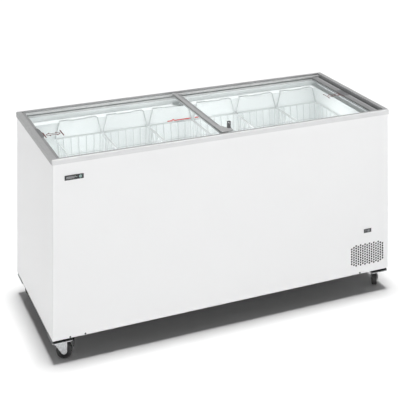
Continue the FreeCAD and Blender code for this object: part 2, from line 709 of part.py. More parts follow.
def caster_fork():
    """Swivel fork about the kingpin axis, trailing along +X."""
    race = cylinder(0, 0, RACE_BOTTOM, RACE_R, RACE_HEIGHT)
    width = LEG_GAP + LEG_THICK
    bridge = block(LEG_FRONT, PEDAL_X - PEDAL_PIN_R, -width, width, RACE_BOTTOM, LEG_TOP)
    pin = cylinder(0, 0, RACE_BOTTOM - PAD, KINGPIN_R + RUNNING_GAP, RACE_HEIGHT + 2 * PAD)
    axle = through_y(TRAIL, -width - PAD, WHEEL_R, AXLE_R, 2 * (width + PAD))
    pivot = through_y(PEDAL_X, -width - PAD, PEDAL_Z, PEDAL_PIN_R, 2 * (width + PAD))
    return join([race, bridge, fork_leg(-1), fork_leg(1)]).cut(pin).cut(axle).cut(pivot)


def caster_wheel():
    half = WHEEL_WIDTH / 2
    wheel = through_y(TRAIL, -half, WHEEL_R, WHEEL_R, WHEEL_WIDTH)
    wheel = wheel.makeFillet(WHEEL_ROUND, [e for e in wheel.Edges if e.Closed])
    for side in (-1, 1):
        floor = side * (half - WHEEL_RECESS)
        deep = WHEEL_RECESS + PAD
        ring = cylinder(TRAIL, floor, WHEEL_R, WHEEL_RECESS_R, deep, (0, side, 0))
        wheel = wheel.cut(ring.cut(cylinder(TRAIL, floor, WHEEL_R, WHEEL_HUB_R, deep, (0, side, 0))))
    return wheel.cut(through_y(TRAIL, -half - PAD, WHEEL_R, AXLE_R + RUNNING_GAP, WHEEL_WIDTH + 2 * PAD))


def caster_axle():
    """Axle rivet with a head outside each fork leg."""
    reach = LEG_GAP + LEG_THICK
    shaft = through_y(TRAIL, -reach, WHEEL_R, AXLE_R, 2 * reach)
    heads = [cylinder(TRAIL, side * reach, WHEEL_R, AXLE_HEAD_R, AXLE_HEAD_H, (0, side, 0))
             for side in (-1, 1)]
    return join([shaft] + heads)


def brake_pedal():
    """Foot pedal with its pivot pin, hanging between the fork legs."""
    x0, x1, z0, z1 = PEDAL_ARM
    arm = block(x0, x1, -PEDAL_ARM_HALF, PEDAL_ARM_HALF, z0, z1)
    x0, x1, z0, z1 = PEDAL_PAD
    pad = block(x0, x1, -PEDAL_PAD_HALF, PEDAL_PAD_HALF, z0, z1)
    pad = pad.makeFillet(PEDAL_ROUND, pad.Edges)
    reach = LEG_GAP + LEG_THICK
    pin = through_y(PEDAL_X, -reach, PEDAL_Z, PEDAL_PIN_R - RUNNING_GAP, 2 * reach)
    return join([arm, pad, pin])


def build_casters():
    plates = []
    fasteners = []
    for name, x, y, angle, brake in caster_sites():
        half_x = PLATE_X / 2
        half_y = PLATE_Y / 2
        plate = rounded_block(x - half_x, x + half_x, y - half_y, y + half_y, PLATE_BOTTOM, PLATE_TOP,
                              PLATE_ROUND)
        plates.append(plate.cut(cylinder(x, y, PLATE_BOTTOM - PAD, KINGPIN_R, PLATE_THICK + 2 * PAD)))
        pin = cylinder(x, y, PLATE_TOP - KINGPIN_LENGTH, KINGPIN_R, KINGPIN_LENGTH)
        fasteners.append(pin.fuse(cylinder(x, y, KINGPIN_HEAD_Z, KINGPIN_HEAD_R, KINGPIN_HEAD_H)))
        save("caster_fork_" + name, place(caster_fork(), x, y, angle))
        save("caster_wheel_" + name, place(caster_wheel(), x, y, angle))
        save("caster_axle_" + name, place(caster_axle(), x, y, angle))
        if brake:
            save("brake_pedal_" + name, place(brake_pedal(), x, y, angle))

    shank_length = BASE_TOP + BOLT_REACH - PLATE_BOTTOM
    for x, y in caster_bolt_sites():
        shank = cylinder(x, y, PLATE_BOTTOM, BOLT_R, shank_length)
        head = cylinder(x, y, PLATE_BOTTOM - BOLT_HEAD_H, BOLT_HEAD_R, BOLT_HEAD_H)
        fasteners.append(shank.fuse(head))
    save("caster_fasteners", Part.makeCompound(fasteners))

    holes = Part.makeCompound([cylinder(x, y, PLATE_BOTTOM - PAD, BOLT_R, shank_length + 2 * PAD)
                               for x, y in caster_bolt_sites()])
    save("caster_plates", Part.makeCompound([plate.cut(holes).Solids[0] for plate in plates]))

    # a box channel under each end carries the caster plates clear of the base pan
    channels = []
    for x in (-KINGPIN_X, KINGPIN_X):
        half = CHANNEL_WIDTH / 2
        tube = block(x - half, x + half, -CHANNEL_HALF_LENGTH, CHANNEL_HALF_LENGTH, PLATE_TOP, BODY_BOTTOM)
        half -= CHANNEL_WALL
        hollow = block(x - half, x + half, -CHANNEL_HALF_LENGTH - PAD, CHANNEL_HALF_LENGTH + PAD,
                       PLATE_TOP + CHANNEL_WALL, BODY_BOTTOM - CHANNEL_WALL)
        channels.append(tube.cut(hollow).cut(holes).Solids[0])
    save("caster_channels", Part.makeCompound(channels))


# ---- machinery ----------------------------------------------------------------------
def build_bulkhead():
    roof = MACHINE_TOP + SHEET
    reach_y = INNER_Y - SHEET
    wall = block(MACHINE_X - SHEET, MACHINE_X, -reach_y, reach_y, BASE_TOP, MACHINE_TOP)
    ceiling = block(MACHINE_X - SHEET, INNER_X - SHEET, -reach_y, reach_y, MACHINE_TOP, roof)
    save("machine_bulkhead", wall.fuse(ceiling).removeSplitter())


def build_compressor():
    """Hermetic compressor: a pot with a domed top on a foot plate and four grommets."""
    foot_z = BASE_TOP + GROMMET_HEIGHT
    pot_z = foot_z + FOOT_THICK
    shoulder = pot_z + COMPRESSOR_HEIGHT
    pot = cylinder(COMPRESSOR_X, COMPRESSOR_Y, pot_z, COMPRESSOR_R, COMPRESSOR_HEIGHT)
    dome = Part.makeSphere(COMPRESSOR_R, Vector(COMPRESSOR_X, COMPRESSOR_Y, shoulder))
    seam = cylinder(COMPRESSOR_X, COMPRESSOR_Y, pot_z + SEAM_HEIGHT, COMPRESSOR_R + SEAM_PROUD, SEAM_WIDTH)
    foot = rounded_block(COMPRESSOR_X - FOOT_HALF_X, COMPRESSOR_X + FOOT_HALF_X,
                         COMPRESSOR_Y - FOOT_HALF_Y, COMPRESSOR_Y + FOOT_HALF_Y, foot_z, pot_z, FOOT_ROUND)
    compressor = join([pot, dome, seam, foot])
    save("compressor", compressor)

    grommets = []
    for dx in (GROMMET_INSET - FOOT_HALF_X, FOOT_HALF_X - GROMMET_INSET):
        for dy in (GROMMET_INSET - FOOT_HALF_Y, FOOT_HALF_Y - GROMMET_INSET):
            x = COMPRESSOR_X + dx
            y = COMPRESSOR_Y + dy
            grommets.append(cylinder(x, y, BASE_TOP, GROMMET_R, GROMMET_HEIGHT))
    save("compressor_grommets", Part.makeCompound(grommets))

    x0, x1, half_y, z0, z1 = RELAY
    relay = block(COMPRESSOR_X + x0, COMPRESSOR_X + x1, COMPRESSOR_Y - half_y, COMPRESSOR_Y + half_y,
                  pot_z + z0, pot_z + z1)
    save("electrical_box", relay.cut(compressor))


def build_condenser():
    """Finned condenser behind the round holes of the front panel."""
    x0, x1 = FAN_X - COIL_HALF_X, FAN_X + COIL_HALF_X
    y0, y1 = COIL_Y
    z0, z1 = FAN_Z - COIL_HALF_Z, FAN_Z + COIL_HALF_Z
    fin_pitch = (x1 - x0) / (FIN_COUNT - 1)
    fins = [block(x0 + i * fin_pitch, x0 + i * fin_pitch + FIN_THICK, y0, y1, z0, z1)
            for i in range(FIN_COUNT)]
    tubes = []
    length = x1 - x0 + 2 * COIL_TUBE_REACH
    for row in range(COIL_ROWS):
        z = FAN_Z + (row - (COIL_ROWS - 1) / 2) * COIL_ROW_PITCH
        for y in (y0 + COIL_TUBE_INSET, y1 - COIL_TUBE_INSET):
            tubes.append(cylinder(x0 - COIL_TUBE_REACH, y, z, TUBE_R, length, (1, 0, 0)))
    save("condenser_coil", join(fins + tubes))


def build_fan():
    x0, x1 = FAN_X - COIL_HALF_X, FAN_X + COIL_HALF_X
    z0, z1 = FAN_Z - COIL_HALF_Z, FAN_Z + COIL_HALF_Z
    shroud_y = COIL_Y[1] + SHROUD_GAP
    arm_y = shroud_y + SHROUD_DEPTH - ARM_THICK
    mouth_r = FAN_R + SHROUD_TIP_GAP
    plate = block(x0, x1, shroud_y, shroud_y + SHROUD_SHEET, z0, z1)
    ring = through_y(FAN_X, shroud_y, FAN_Z, mouth_r + SHROUD_SHEET, SHROUD_DEPTH)
    mouth = through_y(FAN_X, shroud_y - PAD, FAN_Z, mouth_r, SHROUD_DEPTH + 2 * PAD)
    feet = [block(x, x + SHROUD_FOOT, shroud_y, shroud_y + SHROUD_DEPTH, BASE_TOP, z0 + ARM_THICK)
            for x in (x0 + SHROUD_FOOT, x1 - 2 * SHROUD_FOOT)]
    reach = mouth_r + SHROUD_SHEET / 2
    arms = [block(FAN_X - reach, FAN_X + reach, arm_y, arm_y + ARM_THICK, FAN_Z - ARM_HALF, FAN_Z + ARM_HALF),
            block(FAN_X - ARM_HALF, FAN_X + ARM_HALF, arm_y, arm_y + ARM_THICK, FAN_Z - reach, FAN_Z + reach)]
    shaft_hole = through_y(FAN_X, arm_y - PAD, FAN_Z, SHAFT_R + 1.0, ARM_THICK + 2 * PAD)
    body = plate.fuse(ring).cut(mouth)
    save("fan_shroud", join([body] + feet + arms).cut(shaft_hole))

    motor_y = arm_y + ARM_THICK
    motor = through_y(FAN_X, motor_y, FAN_Z, MOTOR_R, MOTOR_LENGTH)
    back_rim = [e for e in motor.Edges if e.Closed and e.CenterOfMass.y > motor_y + PAD]
    motor = motor.makeFillet(MOTOR_R / 7, back_rim)
    shaft_y = shroud_y + 1.0
    shaft = through_y(FAN_X, shaft_y, FAN_Z, SHAFT_R, motor_y + PAD - shaft_y)
    save("fan_motor", motor.fuse(shaft))

    hub_y = shroud_y + 3.0
    blades = []
    for index in range(FAN_BLADES):
        blade = block(-BLADE_HALF_CHORD, BLADE_HALF_CHORD, -BLADE_THICK / 2, BLADE_THICK / 2,
                      BLADE_ROOT, FAN_R)
        blade.rotate(Vector(0, 0, 0), Vector(0, 0, 1), BLADE_PITCH)
        blade.rotate(Vector(0, 0, 0), Vector(0, 1, 0), index * 360.0 / FAN_BLADES)
        blade.translate(Vector(FAN_X, hub_y + HUB_LENGTH / 2, FAN_Z))
        blades.append(blade)
    hub = through_y(FAN_X, hub_y, FAN_Z, HUB_R, HUB_LENGTH)
    bore = through_y(FAN_X, hub_y - PAD, FAN_Z, SHAFT_R + RUNNING_GAP, HUB_LENGTH + 2 * PAD)
    save("fan_blade", join([hub] + blades).cut(bore))


# ---- small parts on the panels ------------------------------------------------------
def panel_screw(x, seat, z, side, grip):
    """A round-headed screw seated on a panel, its shank running inwards."""
    head = cylinder(x, seat, z, SCREW_HEAD_R, SCREW_HEAD_H, (0, side, 0))
    crown = [e for e in head.Edges if e.Closed and abs(e.CenterOfMass.y - seat) > SCREW_HEAD_H / 2]
    head = head.makeFillet(SCREW_HEAD_ROUND, crown)
    return head.fuse(cylinder(x, seat, z, SCREW_SHANK_R, grip, (0, -side, 0)))


def build_rear_grille():
    """A screwed plate with upright slots over the vent in the rear panel."""
    x0, x1, z0, z1 = REAR_GRILLE
    plate = block(x0, x1, HALF_Y, HALF_Y + REAR_GRILLE_THICK, z0, z1)
    depth = REAR_GRILLE_THICK + 2 * PAD
    tools = [through_y(x, HALF_Y - PAD, z, SCREW_SHANK_R, depth) for x, z in rear_grille_screws()]
    middle = (z0 + z1) / 2
    for column in range(SLOT_COUNT):
        x = x0 + SLOT_FIRST + column * SLOT_PITCH
        for z in (middle - SLOT_OFFSET_Z, middle + SLOT_OFFSET_Z):
            tools.append(block(x, x + SLOT_WIDTH, HALF_Y - PAD, HALF_Y - PAD + depth,
                               z - SLOT_HALF_HEIGHT, z + SLOT_HALF_HEIGHT))
    save("rear_grille", plate.cut(Part.makeCompound(tools)))


def build_power_inlet():
    """A flanged socket with three contacts, set in the rear panel."""
    half_x, half_z, thick = INLET_FLANGE
    front = HALF_Y + thick
    flange = block(INLET_X - half_x, INLET_X + half_x, HALF_Y, front, INLET_Z - half_z, INLET_Z + half_z)
    half_x, half_z, depth = INLET_SHELL
    back = INNER_Y - depth
    shell = block(INLET_X - half_x, INLET_X + half_x, back, HALF_Y, INLET_Z - half_z, INLET_Z + half_z)
    half_x -= INLET_WALL
    half_z -= INLET_WALL
    floor = back + 2 * INLET_WALL
    cavity = block(INLET_X - half_x, INLET_X + half_x, floor, front + PAD, INLET_Z - half_z, INLET_Z + half_z)
    pin_x, pin_z = INLET_PIN
    pins = [block(INLET_X + dx - pin_x, INLET_X + dx + pin_x, floor - 1.0, HALF_Y - PAD,
                  INLET_Z + dz - pin_z, INLET_Z + dz + pin_z) for dx, dz in INLET_PINS]
    save("power_inlet", join([flange.fuse(shell).cut(cavity)] + pins))


def build_small_parts():
    x0, x1, z0, z1 = BADGE
    badge = block(x0, x1, -HALF_Y - BADGE_THICK, -HALF_Y, z0, z1)
    corners = [e for e in badge.Edges if e.BoundBox.YLength > BADGE_THICK / 2]
    save("badge_plate", badge.makeFillet(1.5, corners))

    x0, x1, z0, z1 = DISPLAY
    save("display_window", block(x0, x1, -HALF_Y - DISPLAY_PROUD, -INNER_Y, z0, z1))
    module = block(x0 - MODULE_MARGIN_X, x1 + MODULE_MARGIN_X, -INNER_Y, -INNER_Y + MODULE_DEPTH,
                   z0 - MODULE_MARGIN_Z, z1 + MODULE_MARGIN_Z)
    save("control_module", module)

    screws = [panel_screw(x, -HALF_Y, z, -1, SHEET) for x, z in front_screws()]
    for x, z in rear_grille_screws():
        screws.append(panel_screw(x, HALF_Y + REAR_GRILLE_THICK, z, 1, SHEET + REAR_GRILLE_THICK))
    save("panel_screws", Part.makeCompound(screws))

    tube = cylinder(DRAIN_X, 0, BODY_BOTTOM, DRAIN_R, WELL_FLOOR - BODY_BOTTOM)
    bore_r = DRAIN_R - DRAIN_WALL
    tube = tube.cut(cylinder(DRAIN_X, 0, BODY_BOTTOM - PAD, bore_r, WELL_FLOOR))
    cap = cylinder(DRAIN_X, 0, WELL_FLOOR, DRAIN_R + DRAIN_CAP_RIM, DRAIN_CAP_THICK)
    stem = cylinder(DRAIN_X, 0, WELL_FLOOR - DRAIN_CAP_DEPTH, bore_r, DRAIN_CAP_DEPTH)
    save("drain_plug", Part.makeCompound([tube, cap.fuse(stem)]))


os.makedirs("parts", exist_ok=True)
build_panels()
build_base_pan()
build_liner()
build_foam_and_evaporator()
build_frame()
build_left_lid()
build_right_lid()
build_lock()
build_baskets()
build_casters()
build_bulkhead()
build_compressor()
build_condenser()
build_fan()
build_rear_grille()
build_power_inlet()
build_small_parts()
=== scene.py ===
import math

import bmesh
import bpy
from mathutils import Matrix, Vector


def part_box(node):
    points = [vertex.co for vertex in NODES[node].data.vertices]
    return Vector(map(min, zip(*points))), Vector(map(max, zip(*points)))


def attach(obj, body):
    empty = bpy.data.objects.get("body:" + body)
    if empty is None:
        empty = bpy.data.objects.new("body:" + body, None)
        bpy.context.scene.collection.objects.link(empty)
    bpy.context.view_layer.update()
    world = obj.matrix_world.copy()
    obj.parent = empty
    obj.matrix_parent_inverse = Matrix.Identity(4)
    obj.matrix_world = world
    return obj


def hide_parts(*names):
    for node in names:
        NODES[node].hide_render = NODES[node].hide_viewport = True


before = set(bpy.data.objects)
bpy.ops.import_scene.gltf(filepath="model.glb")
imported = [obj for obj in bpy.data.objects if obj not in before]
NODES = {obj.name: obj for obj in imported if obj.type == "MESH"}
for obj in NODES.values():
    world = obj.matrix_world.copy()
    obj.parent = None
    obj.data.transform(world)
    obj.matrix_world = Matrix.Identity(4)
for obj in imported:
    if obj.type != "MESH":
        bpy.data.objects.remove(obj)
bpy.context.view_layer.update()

MM = 0.001
CORNERS = ("front_left", "front_right", "rear_left", "rear_right")


# ---- materials ----------------------------------------------------------------------
class Surface:
    """A Principled material whose colour, roughness and bump come from procedural nodes."""

    def __init__(self, name, colour, roughness, metallic=0.0, **fixed):
        self.material = bpy.data.materials.new(name)
        self.material.use_nodes = True
        self.nodes = self.material.node_tree.nodes
        self.links = self.material.node_tree.links
        self.shader = self.nodes["Principled BSDF"]
        self.colour = colour
        self.shader.inputs["Base Color"].default_value = (*colour, 1.0)
        self.shader.inputs["Roughness"].default_value = roughness
        self.shader.inputs["Metallic"].default_value = metallic
        for socket, value in fixed.items():
            self.shader.inputs[socket.replace("_", " ")].default_value = value
        self.material.diffuse_color = (*colour, 1.0)
        self.last_bump = None

    def node(self, kind, **values):
        made = self.nodes.new(kind)
        for key, value in values.items():
            made.inputs[key.replace("_", " ")].default_value = value
        return made

    def coordinates(self, stretch=(1.0, 1.0, 1.0)):
        """Object coordinates in metres, stretched along each axis."""
        place = self.node("ShaderNodeMapping", Scale=stretch)
        source = self.nodes.new("ShaderNodeTexCoord")
        self.links.new(source.outputs["Object"], place.inputs["Vector"])
        return place.outputs["Vector"]

    def noise(self, scale, detail=4.0, roughness=0.5, stretch=(1.0, 1.0, 1.0)):
        made = self.node("ShaderNodeTexNoise", Scale=scale, Detail=detail, Roughness=roughness)
        self.links.new(self.coordinates(stretch), made.inputs["Vector"])
        return made.outputs["Fac"]

    def cells(self, scale, stretch=(1.0, 1.0, 1.0)):
        made = self.node("ShaderNodeTexVoronoi", Scale=scale)
        self.links.new(self.coordinates(stretch), made.inputs["Vector"])
        return made.outputs["Distance"]

    def remap(self, value, low, high, start=0.3, end=0.7):
        made = self.node("ShaderNodeMapRange")
        made.inputs["From Min"].default_value = start
        made.inputs["From Max"].default_value = end
        made.inputs["To Min"].default_value = low
        made.inputs["To Max"].default_value = high
        self.links.new(value, made.inputs["Value"])
        return made.outputs["Result"]

    def vary_colour(self, value, other, start=0.3, end=0.7):
        mix = self.nodes.new("ShaderNodeMix")
        mix.data_type = "RGBA"
        colours = [s for s in mix.inputs if s.type == "RGBA"]
        colours[0].default_value = (*self.colour, 1.0)
        colours[1].default_value = (*other, 1.0)
        self.links.new(self.remap(value, 0.0, 1.0, start, end), mix.inputs["Factor"])
        result = [s for s in mix.outputs if s.type == "RGBA"][0]
        self.links.new(result, self.shader.inputs["Base Color"])
        return self

    def vary_roughness(self, value, low, high):
        self.links.new(self.remap(value, low, high), self.shader.inputs["Roughness"])
        return self

    def bump(self, value, distance, strength=1.0):
        made = self.node("ShaderNodeBump", Strength=strength, Distance=distance)
        self.links.new(value, made.inputs["Height"])
        if self.last_bump is not None:
            self.links.new(self.last_bump, made.inputs["Normal"])
        self.last_bump = made.outputs["Normal"]
        self.links.new(self.last_bump, self.shader.inputs["Normal"])
        return self


def enamel(name, colour, roughness=0.3):
    """Sprayed gloss paint on sheet: faint orange peel, hardly any colour change."""
    s = Surface(name, colour, roughness, Coat_Weight=0.15, Coat_Roughness=0.15)
    s.vary_colour(s.noise(2.2, 3.0), tuple(c * 0.985 for c in colour))
    s.vary_roughness(s.noise(38.0, 3.0), roughness - 0.015, roughness + 0.015)
    return s.bump(s.noise(650.0, 2.0), 0.0001, 0.08).material


def coated_trim(name, colour):
    """Powder coated extrusion, drawn lines along its length."""
    s = Surface(name, colour, 0.38, Coat_Weight=0.1, Coat_Roughness=0.3)
    s.vary_colour(s.noise(60.0, 4.0, stretch=(0.15, 1.0, 1.0)), tuple(c * 0.94 for c in colour))
    s.vary_roughness(s.noise(90.0, 3.0), 0.32, 0.45)
    return s.bump(s.noise(900.0, 2.0), 0.00008, 0.4).material


def drawn_aluminium(name, colour, stretch, roughness, metallic):
    """Satin anodised extrusion with fine die lines along one axis."""
    s = Surface(name, colour, roughness, metallic)
    lines = s.noise(700.0, 5.0, 0.6, stretch)
    s.vary_colour(lines, tuple(c * 0.86 for c in colour))
    s.vary_roughness(s.noise(45.0, 4.0), roughness - 0.07, roughness + 0.09)
    return s.bump(lines, 0.00006, 0.5).material


def moulded_plastic(name, colour, roughness, grain, other=None):
    s = Surface(name, colour, roughness)
    s.vary_colour(s.noise(55.0, 4.0), other or tuple(c * 0.85 for c in colour))
    s.vary_roughness(s.noise(110.0, 3.0), roughness - 0.06, roughness + 0.08)
    return s.bump(s.noise(grain, 2.0), 0.00008, 0.5).material


def zinc(name, colour, roughness=0.34):
    """Bright zinc plate: metallic, with the cloudy patches of a dipped part."""
    s = Surface(name, colour, roughness, 0.9)
    s.vary_colour(s.cells(130.0), tuple(c * 0.78 for c in colour), 0.1, 0.8)
    s.vary_roughness(s.noise(160.0, 4.0), roughness - 0.08, roughness + 0.14)
    return s.bump(s.noise(500.0, 3.0), 0.0001, 0.35).material


def spangled_steel(name, colour):
    """Galvanised sheet with its crystal spangle."""
    s = Surface(name, colour, 0.42, 0.85)
    s.vary_colour(s.cells(55.0), tuple(c * 0.72 for c in colour), 0.1, 0.75)
    s.vary_roughness(s.cells(90.0), 0.34, 0.52)
    return s.bump(s.noise(300.0, 3.0), 0.0001, 0.3).material


def polished_chrome(name, colour=(0.78, 0.79, 0.80)):
    s = Surface(name, colour, 0.08, 1.0)
    s.vary_colour(s.noise(220.0, 3.0), tuple(c * 0.9 for c in colour))
    s.vary_roughness(s.noise(260.0, 4.0), 0.05, 0.14)
    return s.bump(s.noise(700.0, 3.0), 0.00003, 0.25).material


def rigid_foam(name):
    s = Surface(name, (0.80, 0.70, 0.45), 0.9)
    s.vary_colour(s.noise(35.0, 6.0), (0.66, 0.55, 0.32))
    return s.bump(s.cells(420.0), 0.0008, 0.7).material


def rubber(name, colour=(0.018, 0.018, 0.019), worn=(0.035, 0.034, 0.033)):
    """Dull rubber or matt black coating, lighter where it is worn."""
    s = Surface(name, colour, 0.62)
    s.vary_colour(s.noise(90.0, 5.0), worn)
    s.vary_roughness(s.noise(150.0, 4.0), 0.5, 0.72)
    return s.bump(s.noise(900.0, 3.0), 0.00015, 0.6).material


def clear_glass(name):
    """Toughened lid glass, so clear that only a trace of its surface shows."""
    s = Surface(name, (0.90, 0.97, 0.96), 0.03, 0.0, Alpha=0.05, IOR=1.5)
    s.vary_colour(s.noise(3.0, 2.0), (0.86, 0.95, 0.94))
    s.vary_roughness(s.noise(12.0, 3.0), 0.015, 0.05)
    return s.material


def printed_ink(name, colour, other):
    s = Surface(name, colour, 0.5)
    s.vary_colour(s.noise(160.0, 5.0), other)
    s.vary_roughness(s.noise(300.0, 3.0), 0.42, 0.58)
    return s.bump(s.noise(1800.0, 2.0), 0.00004, 0.4).material


def make_materials():
    """Every material by its key; colours are linear albedo."""
    along_x = (0.02, 1.0, 1.0)
    along_y = (1.0, 0.02, 1.0)
    all_ways = (1.0, 1.0, 1.0)
    return {
        "enamel": enamel("white_enamel", (0.85, 0.853, 0.857)),
        "trim": coated_trim("white_trim", (0.70, 0.705, 0.71)),
        "end_rail": drawn_aluminium("satin_aluminium", (0.38, 0.382, 0.385), along_y, 0.4, 0.12),
        "track": drawn_aluminium("grey_track", (0.35, 0.352, 0.355), along_x, 0.45, 0.12),
        # The glide strips share the tracks' grey but are made lighter: painted light that cancels the shade
        # on their upright faces.
        "glide": moulded_plastic("grey_glide_painted_lit", (0.60, 0.602, 0.605), 0.5, 900.0),
        "galvanised": spangled_steel("galvanised_steel", (0.12, 0.122, 0.125)),
        "foam": rigid_foam("insulation_foam"),
        "liner": enamel("liner_white", (0.84, 0.87, 0.87), 0.4),
        "tube": drawn_aluminium("tube_aluminium", (0.55, 0.56, 0.57), all_ways, 0.4, 0.8),
        # The condenser coil's near-black is partly its black coating and partly painted shade, so the
        # grille's holes read dark.
        "coil": rubber("coil_black_painted_shade", (0.03, 0.031, 0.032)),
        "glass": clear_glass("lid_glass"),
        # The lid profiles are one satin extrusion in four brightnesses, set by how light falls on each:
        # painted light on the upper lid's inner profile and the lock bracket, painted shade on its outer
        # profile, and deeper painted shade on the lower lid's profiles.
        "profile_painted_edge_shade": drawn_aluminium("lid_profile_painted_edge_shade", (0.29, 0.292, 0.295), along_y, 0.42, 0.15),
        "profile_painted_lit": drawn_aluminium("lid_profile_light", (0.42, 0.422, 0.425), along_y, 0.42, 0.15),
        "profile_painted_shade": drawn_aluminium("lid_profile_dark", (0.31, 0.312, 0.315), along_y, 0.42, 0.15),
        "profile_painted_deep_shade": drawn_aluminium("lid_profile_painted_deep_shade", (0.29, 0.292, 0.295), along_y, 0.45, 0.15),
        "pull": moulded_plastic("pull_grey", (0.17, 0.172, 0.176), 0.45, 1000.0),
        "chrome": polished_chrome("lock_chrome"),
        "dark_chrome": polished_chrome("lock_dark_chrome", (0.30, 0.302, 0.306)),
        "wire": moulded_plastic("basket_coating", (0.60, 0.625, 0.625), 0.4, 600.0, (0.56, 0.585, 0.585)),
        "wheel": rubber("wheel_black"),
        "zinc": zinc("zinc_plate", (0.62, 0.63, 0.64)),
        "screw": zinc("dark_screw", (0.05, 0.05, 0.052), 0.4),
        "black_plastic": moulded_plastic("black_plastic", (0.022, 0.022, 0.024), 0.32, 1200.0,
                                         (0.03, 0.03, 0.032)),
        # Black enamel of the compressor, also used as painted shade on the caster channels.
        "black_enamel": enamel("black_enamel", (0.02, 0.02, 0.021), 0.35),
        "display": moulded_plastic("display_lens", (0.06, 0.062, 0.066), 0.16, 900.0, (0.085, 0.088, 0.092)),
        "rubber": rubber("rubber"),
        "seal": rubber("seal_rubber", (0.30, 0.302, 0.305), (0.35, 0.352, 0.355)),
        "white_plastic": moulded_plastic("white_plastic", (0.80, 0.80, 0.79), 0.45, 800.0,
                                         (0.76, 0.76, 0.75)),
        "arrow_ink": printed_ink("arrow_ink", (0.09, 0.008, 0.005), (0.12, 0.012, 0.009)),
        "line_ink": printed_ink("line_ink", (0.72, 0.015, 0.012), (0.64, 0.012, 0.01)),
        "badge_ink": printed_ink("badge_ink", (0.50, 0.51, 0.52), (0.42, 0.43, 0.44)),
        "mark_ink": printed_ink("mark_ink", (0.30, 0.62, 0.55), (0.62, 0.74, 0.72)),
    }


def dress_cad_nodes(m):
    """Give each carried-over CAD node its material."""
    by_material = {
        "enamel": ["front_panel", "rear_panel", "left_side_panel", "right_side_panel", "rear_grille"],
        "trim": ["front_trim", "rear_trim"],
        "end_rail": ["left_end_rail", "right_end_rail"],
        "track": ["slide_tracks"],
        # The glide strips are a lighter copy of the track grey, as painted light.
        "glide": ["glide_strips"],
        "galvanised": ["base_pan", "machine_bulkhead", "fan_shroud"],
        "foam": ["foam_insulation"],
        "liner": ["liner"],
        "tube": ["evaporator_tube"],
        # The coil is near-black: a black coating plus painted shade seen through the grille.
        "coil": ["condenser_coil"],
        "glass": ["left_lid_glass", "right_lid_glass"],
        # Lid profiles take lit and shaded copies of one extrusion: painted light on the upper inner profile,
        # painted shade on the others.
        "profile_painted_edge_shade": ["left_lid_outer_profile"],
        "profile_painted_lit": ["left_lid_inner_profile", "lock_bracket"],
        "profile_painted_shade": ["right_lid_inner_profile"],
        "profile_painted_deep_shade": ["right_lid_outer_profile"],
        "pull": ["left_lid_pull", "right_lid_pull"],
        "chrome": ["lock_plug"],
        "dark_chrome": ["lock_housing"],
        "zinc": ["caster_plates", "caster_fasteners"],
        "screw": ["panel_screws"],
        "black_plastic": ["badge_plate", "control_module", "electrical_box", "power_inlet", "fan_motor",
                          "fan_blade", "brake_pedal_front_left", "brake_pedal_front_right"],
        # The compressor is black enamel. The caster channels are black as painted shade, so they stay dark
        # under the cabinet's edge.
        "black_enamel": ["compressor", "caster_channels"],
        "display": ["display_window"],
        "rubber": ["compressor_grommets"],
        "seal": ["right_lid_seal"],
        "white_plastic": ["drain_plug"],
    }
    for corner in CORNERS:
        by_material["zinc"] += ["caster_fork_" + corner, "caster_axle_" + corner]
    by_material["wheel"] = ["caster_wheel_" + corner for corner in CORNERS]
    for key, names in by_material.items():
        for name in names:
            slots = NODES[name].data.materials
            slots.clear()
            slots.append(m[key])


# ---- mesh helpers -------------------------------------------------------------------
def add_object(name, mesh, material, body):
    mesh.materials.clear()
    mesh.materials.append(material)
    made = bpy.data.objects.new(name, mesh)
    bpy.context.scene.collection.objects.link(made)
    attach(made, body)
    return made


def rounded_path(points, radius, closed=False, steps=5):
    """The points as a path whose corners are rounded with arcs of about the given radius."""
    corners = [Vector(p) for p in points]
    count = len(corners)
    path = []
    for i, corner in enumerate(corners):
        if not closed and i in (0, count - 1):
            path.append(corner)
            continue
        before = corners[i - 1] - corner
        after = corners[(i + 1) % count] - corner
        reach = min(radius, before.length * 0.45, after.length * 0.45)
        start = corner + before.normalized() * reach
        end = corner + after.normalized() * reach
        for step in range(steps + 1):
            t = step / steps
            path.append(start * (1 - t) ** 2 + corner * 2 * t * (1 - t) + end * t ** 2)
    return path


def tube_mesh(name, wires):
    """One mesh of round wires; each wire is (path, radius, closed)."""
    curve = bpy.data.curves.new(name + "_curve", "CURVE")
    curve.dimensions = "3D"
    curve.bevel_depth = MM
    curve.bevel_resolution = 2
    curve.use_fill_caps = True
    for path, radius, closed in wires:
        spline = curve.splines.new("POLY")
        spline.points.add(len(path) - 1)
        for point, place in zip(spline.points, path):
            point.co = (*place, 1.0)
            point.radius = radius / MM
        spline.use_cyclic_u = closed
    holder = bpy.data.objects.new(name + "_holder", curve)
    mesh = bpy.data.meshes.new_from_object(holder)
    bpy.data.objects.remove(holder)
    bpy.data.curves.remove(curve)
    mesh.name = name
    mesh.polygons.foreach_set("use_smooth", [True] * len(mesh.polygons))
    return mesh


